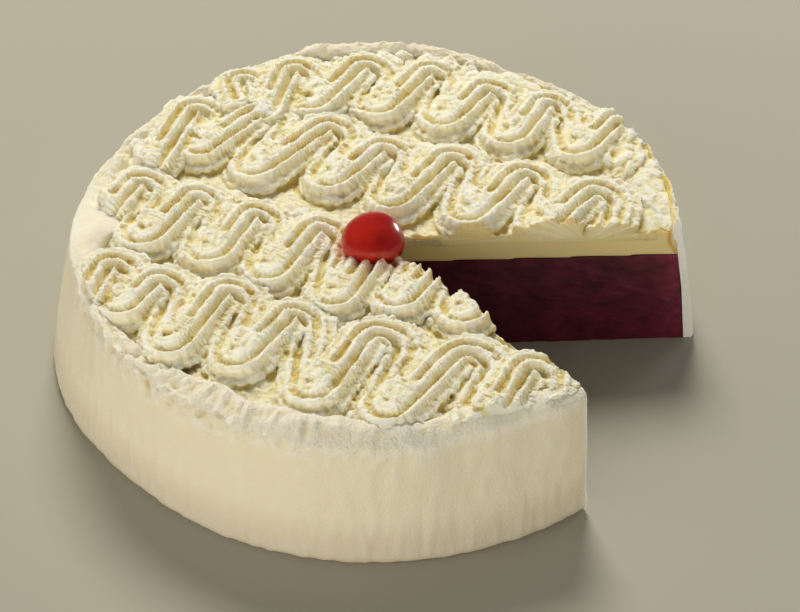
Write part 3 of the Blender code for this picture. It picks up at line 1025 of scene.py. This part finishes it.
class CAKE_OT_pipe_rows(bpy.types.Operator):
    """Pipe the four rows of cream"""

    bl_idname = "cake.pipe_rows"
    bl_label = "Pipe the rows"

    def execute(self, context):
        settings = context.scene.cake_piping
        finish = piped_finish(settings)
        for row, (name, bends) in enumerate(PIPED_ROWS.items()):
            deselect_all()
            made = edge_lumps(row) + knobs(bends) + border_lumps(row) + [row_bed(row)]
            piped = piped_ribbon(name + "_cream", bends, settings)
            joined(piped, made)
            apply_step(piped, "REMESH", mode="VOXEL", voxel_size=settings.voxel)
            carve(piped, inside_of_rim(), "INTERSECT")
            self.roughen(piped, bends, settings)
            carve(piped, wedge(ROW_CUT_LOW, inset=ROW_INSET, notch=NOTCH_DEPTH))
            piped.data.calc_loop_triangles()
            apply_step(piped, "DECIMATE", ratio=min(1.0, PIECE_TRIANGLES / len(piped.data.loop_triangles)))
            self.mark_places(piped, bends)
            hand_in(piped, name, finish)
        return {"FINISHED"}

    def roughen(self, piped, bends, settings):
        points = points_of(piped)
        rough = rough_places(points, bends)
        upper = np.clip((points[:, 2] - ICE_CREAM_TOP) / 0.002, 0.0, 1.0)
        set_weights(piped, "loose", (0.1 + 0.9 * rough) * upper)
        set_weights(piped, "grainy", (0.4 + 0.6 * rough) * upper)
        set_weights(piped, "upper", upper)
        add_frills(piped, bends, settings, upper * (1.0 - 0.5 * rough))
        lumps(piped, "wide_lumps", 0.0075, 0.0014, "upper")
        lumps(piped, "ragged_lumps", 0.0032, 0.0016, "loose")
        lumps(piped, "fine_grain", 0.0013, 0.0006, "grainy")

    def mark_places(self, piped, bends):
        points = points_of(piped)
        above = points[:, 2] - ICE_CREAM_TOP
        # Painted shade: the hollow mask darkens the grooves, and the low term darkens the lowest cream
        # between the rows
        low = 0.95 * np.clip((0.0052 - above) / 0.0042, 0.0, 1.0)
        set_mask(piped, "hollow", np.maximum(0.5 + hollow_places(piped, 30) / HOLLOW_DEPTH, low))
        set_mask(piped, "rough", rough_places(points, bends))
        # A reddish colour on the cream, fading with distance from the cherry's middle
        from_cherry = np.linalg.norm(points - CHERRY_MIDDLE, axis=1)
        set_mask(piped, "stain", (RED_TINT_REACH - from_cherry) / RED_TINT_EDGE)
        # Painted shade: a dark spot at the lowest cream in the recess between the front row and the rim
        far = np.hypot(*(points[:, :2] - RECESS).T)
        deep = np.clip((0.0050 - above) / 0.0030, 0.0, 1.0)
        set_mask(piped, "recess", 1.6 * deep * (1.0 - far / RECESS_RADIUS))
        upright = np.clip(1.6 - 2.0 * np.abs(normals_of(piped)[:, 2]), 0.0, 1.0)
        set_mask(piped, "cut", 2.0 * near_walls(points, 0.0010) * upright)


def piped_finish(settings):
    # The recess mask paints a dark shade in the recess between the front row and the rim
    masks = {"stain": settings.stain_colour, "recess": settings.recess_colour, "cut": settings.cut_colour}
    return cream_finish("piped_cream", settings, 0.55, 0.45, masks)


def relief(around, height, kind):
    """Noise round the coat without a seam, of one kind, at a height in one direction."""
    across, upright, seed = kind
    return steady(
        around.x * MEAN_RADIUS / across, around.y * MEAN_RADIUS / across + seed, height / upright - seed
    )


def smeared(direction):
    """How smoothly the rim is smeared, from 0 to 1."""
    return np.minimum(1.0, swelling(direction, SMEARED))


def coat_section(direction, settings):
    """The coat's section in one direction, as (radius, height): up the outside, over the rim and down."""
    rim = float(rim_outer(direction))
    top = float(rim_level(direction))
    inner = float(rim_inner(direction))
    around = ahead_at(math.radians(direction))
    sloped = min(1.0, float(swelling(direction, SHOULDER)))
    torn = float(swelling(direction, TORN))
    calm = 1.0 - 0.75 * float(smeared(direction))
    edge_radius = rim + SHOULDER_OUT * sloped
    edge_level = top - 0.0010 - SHOULDER_DROP * sloped + 0.0006 * calm * relief(around, 0.0, EDGE_CHIPS)
    foot = BASE_RADIUS + float(swelling(direction, FOOT_OUT))
    chipped = 0.0006 * relief(around, 0.0, FOOT_CHIPS)
    section = [(foot - FOOT_UNDERCUT + chipped, 0.0), (foot - 0.5 * FOOT_UNDERCUT + chipped, 0.0007)]
    for i in range(1, settings.wall_steps + 1):
        height = FOOT_ROUNDING + (edge_level - FOOT_ROUNDING) * i / settings.wall_steps
        rise = height / edge_level
        radius = foot + (edge_radius - foot) * rise**WALL_CURVE
        radius += 0.0005 * relief(around, height, WAVES)
        radius += 0.0003 * relief(around, height, SMEARS)
        low = math.exp(-((rise - 0.12) / 0.30) ** 2)
        radius += settings.streak_height * relief(around, height, STREAKS) * low
        high = max(0.0, rise - 0.78) / 0.22
        flake = 1.0 - 2.0 * abs(relief(around, height + 0.10 * wrapped(direction) * MM, FLAKES))
        radius += settings.tear_height * torn * high**0.7 * (flake - 0.5)
        radius += 0.0006 * calm * high * relief(around, height, CRUMBS)
        section.append((radius, height))
    crest_radius = 0.45 * rim + 0.55 * inner
    crest_level = top + 0.0006
    ragged = 1.0 + 0.9 * torn
    for i in range(1, 19):
        turn = i / 19.0
        if turn < 0.55:
            part = turn / 0.55
            radius = edge_radius + (crest_radius - edge_radius) * part
            level = edge_level + (crest_level - edge_level) * math.sin(0.5 * math.pi * part) ** 0.9
        else:
            part = (turn - 0.55) / 0.45
            radius = crest_radius + (inner - crest_radius) * part
            level = crest_level - 0.0018 * part**2
        bulge = math.sin(math.pi * turn) ** 0.7
        rough, wide, fine, sway = (
            relief(around, turn * MM, kind) for kind in (RIM_ROUGH, RIM_WIDE, RIM_FINE, RIM_SWAY)
        )
        uneven = 0.7 * ragged * rough + 1.4 * wide + 0.3 * ragged * fine
        level += settings.rim_roughness * calm * uneven * bulge
        radius += 0.0012 * calm * bulge * sway
        section.append((radius, level))
    low = ICE_CREAM_TOP - 0.0010
    for part in (0.15, 0.4, 0.7, 1.0):
        section.append((inner - 0.0003 * part, (top - 0.0022) * (1.0 - part) + low * part))
    for height in (low - 0.0004, ICE_CREAM_TOP / 2, 0.0):
        section.append((float(inside_radius(direction, height)) + 0.0001, height))
    return section


class CAKE_OT_spread_coat(bpy.types.Operator):
    """Spread the side coat with its rim"""

    bl_idname = "cake.spread_coat"
    bl_label = "Spread the coat"

    def execute(self, context):
        settings = context.scene.cake_coat
        coat = spun_section(coat_section(0.0, settings), settings.steps)
        places = points_of(coat)
        index = np.empty(len(places), dtype=np.int32)
        coat.data.attributes["section_point"].data.foreach_get("value", index)
        steps = np.rint(directions_of(places) / 360.0 * settings.steps).astype(int) % settings.steps
        table = []
        for step in range(settings.steps):
            direction = wrapped(360.0 * step / settings.steps)
            angle = math.radians(direction)
            section = coat_section(direction, settings)
            table.append([(r * math.cos(angle), r * math.sin(angle), height) for r, height in section])
        set_points(coat, np.array(table)[steps, index])
        carve(coat, wedge(CUT_LOW))
        self.mark_places(coat)
        hand_in(coat, "side_coat", side_finish(settings))
        return {"FINISHED"}

    def mark_places(self, coat):
        places = points_of(coat)
        level = places[:, 2]
        directions = directions_of(places)
        # Painted light and shade: crests of the coat painted paler, tears and hollows painted darker yellow
        set_mask(coat, "hollow", 0.5 + hollow_places(coat, 12) / HOLLOW_DEPTH)
        # Painted shade: darker towards the coat's foot
        set_mask(coat, "foot", 0.85 * (1.0 - level / 0.022))
        set_mask(coat, "cut", near_walls(places, 0.0006))
        set_mask(coat, "rough", (level - 0.048) / 0.006 * (1.0 - 0.9 * smeared(directions)))
        inside = np.abs(np.hypot(places[:, 0], places[:, 1]) - rim_inner(directions) - 0.0004)
        line = np.exp(-((inside / 0.0007) ** 2)) * (level > 0.050)
        set_mask(coat, "seam", 1.1 * line * swelling(directions, SEAM_SHOWS))


def spun_section(section, steps):
    """Spins a closed outline round the cake's axis. Each point keeps its place in the outline."""
    count = len(section)
    corners = [(radius, 0.0, height) for radius, height in section]
    coat = new_object("side_coat_cream", corners, [(i, (i + 1) % count) for i in range(count)], [])
    coat.data.attributes.new("section_point", "INT", "POINT").data.foreach_set("value", list(range(count)))
    apply_step(
        coat,
        "SCREW",
        angle=2.0 * math.pi,
        steps=steps,
        render_steps=steps,
        use_merge_vertices=True,
        merge_threshold=0.00002,
    )
    return turned_outward(coat)


def side_finish(settings):
    # The foot mask paints shade towards the coat's foot
    masks = {"foot": settings.foot_colour, "seam": settings.seam_colour, "cut": settings.cut_colour}
    return cream_finish("side_cream", settings, 0.2, 0.25, masks)


def round_layer(name, low, high):
    """A round layer between two levels, following the inside of the coat, with the slice cut out."""
    bpy.ops.mesh.primitive_cylinder_add(
        vertices=180, radius=BASE_RADIUS, depth=high - low, location=(0.0, 0.0, (low + high) / 2)
    )
    layer = bpy.context.active_object
    layer.name = name
    bpy.ops.object.transform_apply(location=True, rotation=True, scale=True)
    points = points_of(layer)
    points[:, :2] *= (inside_radius(directions_of(points), points[:, 2]) / BASE_RADIUS)[:, None]
    set_points(layer, points)
    carve(layer, wedge(CUT_LOW))
    return layer


def near_walls(points, reach):
    """How near each point is to a cut wall, from 0 to 1."""
    near = np.zeros(len(points))
    away = points[:, :2] - np.array(CUT_POINT)
    for direction in WALLS:
        angle = math.radians(direction)
        along = np.array((math.cos(angle), math.sin(angle)))
        aside = np.array((-along[1], along[0]))
        near = np.maximum(near, np.exp(-((np.abs(away @ aside) / reach) ** 2)) * (away @ along > -reach))
    return near


class CAKE_OT_fill_layers(bpy.types.Operator):
    """Fill the sorbet and ice cream layers that the cut shows"""

    bl_idname = "cake.fill_layers"
    bl_label = "Fill the layers"

    def execute(self, context):
        settings = context.scene.cake_layers
        self.sorbet(settings)
        self.ice_cream(settings)
        return {"FINISHED"}

    def sorbet(self, settings):
        deselect_all()
        layer = round_layer("sorbet", 0.0, SORBET_TOP)
        make_active(layer)
        bpy.ops.object.mode_set(mode="EDIT")
        for direction in WALLS:
            select_wall(layer, direction)
            bpy.ops.mesh.subdivide(number_cuts=settings.wall_cuts, quadcorner="INNERVERT")
        bpy.ops.object.mode_set(mode="OBJECT")
        points = points_of(layer)
        set_weights(layer, "cut_face", near_walls(points, 0.0004))
        lumps(layer, "crumbled", 0.0030, 0.0007, "cut_face", depth=3)
        radius = np.hypot(points[:, 0], points[:, 1])
        outer = np.exp(-((radius - RIM_RADIUS) / 0.007) ** 2)
        upper = np.exp(-(((SORBET_TOP - points[:, 2]) / 0.0022) ** 2)) * (radius / 0.115) ** 6
        set_mask(layer, "frost", (outer + upper) * (0.45 + 0.45 * soft_noise(points, 0.003)))
        hand_in(layer, "fruit_sorbet_layer", sorbet_finish(settings))

    def ice_cream(self, settings):
        deselect_all()
        layer = round_layer("ice_cream", SORBET_TOP + 0.0001, ICE_CREAM_TOP)
        apply_step(layer, "REMESH", mode="VOXEL", voxel_size=0.0008)
        points = points_of(layer)
        top = points[:, 2] > ICE_CREAM_TOP - 0.0003
        stretch = np.clip((points[:, 2] - ICE_CREAM_TOP) / 0.007 + 1.0, 0.0, 1.0) ** 1.5
        rise = -0.0004 * stretch
        edge = np.flatnonzero((stretch > 0.0) & (near_walls(points, 0.0024) > 0.05))
        plan = points[edge] * (1.0, 1.0, 0.0)
        ragged = 0.78 + 0.30 * soft_noise(plan, 0.006) + 0.25 * soft_noise(plan, 0.0022, 4.0)
        raised = np.minimum(1.0, 1.5 * near_walls(points[edge], 0.0016)) * stretch[edge]
        rise[edge] += settings.smear_height * ragged * raised
        points[:, 2] += rise
        set_points(layer, points)
        # Painted shade: the ice cream's top between the rows takes the darker cleft colour, less near the
        # cut walls
        set_mask(layer, "top", top * (1.0 - 1.4 * near_walls(points, 0.0030)))
        radius = np.hypot(points[:, 0], points[:, 1])
        seam = 0.1150 + 0.0007 * np.sin(points[:, 2] / 0.0021) - 0.25 * (points[:, 2] - SORBET_TOP)
        line = 1.3 * np.exp(-(((radius - seam) / 0.0006) ** 2))
        set_mask(layer, "seam", line * near_walls(points, 0.002))
        hand_in(layer, "ice_cream_layer", ice_cream_finish(settings))


def select_wall(layer, direction):
    """In edit mode, selects only the flat face of the cut's wall in one direction."""
    aside = aside_at(math.radians(direction)).to_3d()
    point = Vector((*CUT_POINT, 0.0))
    shape = bmesh.from_edit_mesh(layer.data)
    for face in shape.faces:
        near = abs((face.calc_center_median() - point).dot(aside)) < 1e-5
        face.select_set(near and abs(face.normal.dot(aside)) > 0.99)
    shape.select_flush_mode()
    bmesh.update_edit_mesh(layer.data)


def sorbet_finish(settings):
    finish, tree, shader = new_finish("fruit_sorbet")
    frost = settings.frost_colour
    tone = place_group(tree, mottle, colour=settings.sorbet_colour, patches=frost, amount=0.35, scale=120.0)
    tree.links.new(masked(tree, tone.outputs["Colour"], {"frost": frost}), shader.inputs["Base Color"])
    set_sockets(shader, {"Roughness": 0.42})
    return finish


def ice_cream_finish(settings):
    finish, tree, shader = new_finish("ice_cream")
    # The top mask paints shade in the clefts between the rows
    masks = {"top": settings.cleft_colour, "seam": settings.seam_colour}
    tree.links.new(masked(tree, settings.ice_cream_colour, masks), shader.inputs["Base Color"])
    set_sockets(shader, {"Roughness": 0.45, "Subsurface Weight": 0.55, **CREAM_SPREAD})
    return finish


class CAKE_OT_place_cherry(bpy.types.Operator):
    """Place the glazed cherry at the point of the cut"""

    bl_idname = "cake.place_cherry"
    bl_label = "Place the cherry"

    def execute(self, context):
        settings = context.scene.cake_cherry
        deselect_all()
        bpy.ops.mesh.primitive_uv_sphere_add(segments=96, ring_count=64, radius=1.0)
        cherry = bpy.context.active_object
        cherry.name = "glazed_cherry"
        points = points_of(cherry)
        away = (1.0 - points[:, 0]) / 0.35
        dimple = settings.dimple_depth * np.exp(-(away**2))
        points = points * (np.array(CHERRY_HALF) - dimple[:, None])
        points *= (1.0 + 0.035 * soft_noise(points, 0.009))[:, None]
        turn = np.array(Matrix.Rotation(CHERRY_TURN, 3, "Z"))
        set_points(cherry, points @ turn.T + np.array(CHERRY_MIDDLE))
        hand_in(cherry, "cherry", cherry_finish(settings))
        return {"FINISHED"}


def cherry_finish(settings):
    finish, tree, shader = new_finish("glazed_fruit")
    tone = place_group(
        tree, mottle, colour=settings.glaze_colour, patches=settings.patch_colour, amount=0.6, scale=85.0
    )
    tree.links.new(tone.outputs["Colour"], shader.inputs["Base Color"])
    set_sockets(shader, {"Roughness": 0.30, "Specular IOR Level": 0.25})
    set_sockets(shader, {"Coat Weight": 0.60, "Coat Roughness": 0.05, "Subsurface Weight": 0.6})
    set_sockets(shader, {"Subsurface Radius": (1.0, 0.12, 0.05), "Subsurface Scale": 0.005})
    return finish


class CAKE_OT_set_stage(bpy.types.Operator):
    """Set the floor, the lights and the camera"""

    bl_idname = "cake.set_stage"
    bl_label = "Set the stage"

    def execute(self, context):
        settings = context.scene.cake_stage
        deselect_all()
        self.floor(settings)
        for name, place, size, matt, shiny in LIGHTS:
            light = self.light(name, place, size, getattr(settings, name + "_power"))
            light.visible_diffuse = matt
            light.visible_glossy = shiny
        world = bpy.data.worlds.new("studio")
        world.use_nodes = True
        set_sockets(world.node_tree.nodes["Background"], {"Color": WORLD_COLOUR, "Strength": WORLD_STRENGTH})
        context.scene.world = world
        context.scene.view_settings.view_transform = "Standard"
        self.camera(settings)
        return {"FINISHED"}

    def floor(self, settings):
        bpy.ops.mesh.primitive_plane_add(size=FLOOR_SIZE, location=(0.0, 0.0, FLOOR_LEVEL))
        floor = bpy.context.active_object
        floor.name = "floor"
        bpy.ops.object.transform_apply(location=True, rotation=True, scale=True)
        finish, tree, shader = new_finish("floor")
        set_sockets(shader, {"Base Color": (*settings.floor_colour, 1.0), "Roughness": 0.7})
        floor.data.materials.append(finish)

    def light(self, name, place, size, power):
        lamp = bpy.data.lights.new(name, "AREA")
        lamp.shape = "ELLIPSE" if size[0] == size[1] else "RECTANGLE"
        lamp.size, lamp.size_y = size
        lamp.energy = power
        lamp.color = LIGHT_COLOUR
        holder = bpy.data.objects.new(name, lamp)
        holder.location = place
        holder.rotation_euler = (LIGHT_AIM - Vector(place)).to_track_quat("-Z", "Y").to_euler()
        bpy.context.scene.collection.objects.link(holder)
        return holder

    def camera(self, settings):
        ahead = Vector((0.0, math.cos(settings.elevation), -math.sin(settings.elevation)))
        across = Vector((1.0, 0.0, 0.0))
        upright = across.cross(ahead)
        right = math.cos(settings.roll) * across + math.sin(settings.roll) * upright
        up = -math.sin(settings.roll) * across + math.cos(settings.roll) * upright
        data = bpy.data.cameras.new("camera")
        data.lens = settings.lens
        data.sensor_width = SENSOR_WIDTH
        camera = bpy.data.objects.new("camera", data)
        turn = Matrix((right, up, -ahead)).transposed().to_4x4()
        camera.matrix_world = Matrix.Translation(LOOK_AT - settings.distance * ahead) @ turn
        bpy.context.scene.collection.objects.link(camera)
        bpy.context.scene.camera = camera


class CAKE_PT_panel(bpy.types.Panel):
    """Lists the cake's pieces with their sizes and colours"""

    bl_idname = "CAKE_PT_panel"
    bl_label = "Vacherin cake"
    bl_space_type = "VIEW_3D"
    bl_region_type = "UI"
    bl_category = "Cake"

    def draw(self, context):
        for name, operator in zip(SETTINGS, OPERATORS):
            settings = getattr(context.scene, name)
            box = self.layout.box()
            box.label(text=operator.bl_label)
            for key in settings.__annotations__:
                box.prop(settings, key)
            box.operator(operator.bl_idname)


# The settings and the operator of each part of the work, in the order in which they run
SETTINGS = {
    "cake_layers": LayerSettings,
    "cake_coat": CoatSettings,
    "cake_piping": PipingSettings,
    "cake_cherry": CherrySettings,
    "cake_stage": StageSettings,
}
OPERATORS = (
    CAKE_OT_fill_layers,
    CAKE_OT_spread_coat,
    CAKE_OT_pipe_rows,
    CAKE_OT_place_cherry,
    CAKE_OT_set_stage,
)


def register():
    for made in (*SETTINGS.values(), *OPERATORS, CAKE_PT_panel):
        bpy.utils.register_class(made)
    for name, group in SETTINGS.items():
        setattr(bpy.types.Scene, name, PointerProperty(type=group))


def unregister():
    for name in SETTINGS:
        delattr(bpy.types.Scene, name)
    for made in (CAKE_PT_panel, *reversed(OPERATORS), *reversed(SETTINGS.values())):
        bpy.utils.unregister_class(made)


def main():
    register()
    bpy.ops.cake.fill_layers()
    bpy.ops.cake.spread_coat()
    bpy.ops.cake.pipe_rows()
    bpy.ops.cake.place_cherry()
    bpy.ops.cake.set_stage()


if __name__ == "__main__":
    main()
